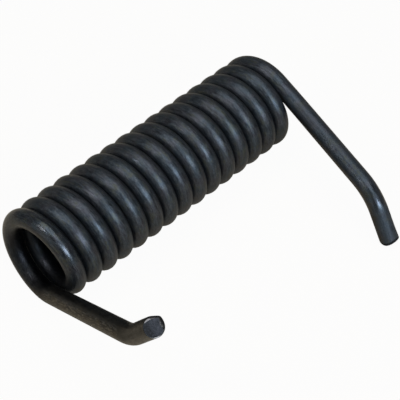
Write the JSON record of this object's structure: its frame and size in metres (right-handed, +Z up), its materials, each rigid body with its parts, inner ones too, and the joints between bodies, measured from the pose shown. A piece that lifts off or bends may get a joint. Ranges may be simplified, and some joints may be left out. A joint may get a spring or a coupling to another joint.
{
  "type": "torsion spring",
  "caption": "Heavy close-wound torsion spring of round steel wire, with two long straight arms that end in shallow hooks, lying on its side.",
  "frame": {"origin": "centre of the coil: on its axis, midway between its two ends", "axes": "+X along the coil's axis towards the far arm, +Z up from the flat surface that the spring lies on"},
  "size_m": [0.1803, 0.135, 0.073],
  "materials": {
    "spring_steel": "dark oil-tempered and phosphated, soft sheen"
  },
  "bodies": {
    "root": {"torsion_spring": "spring_steel"}
  },
  "joints": []
}
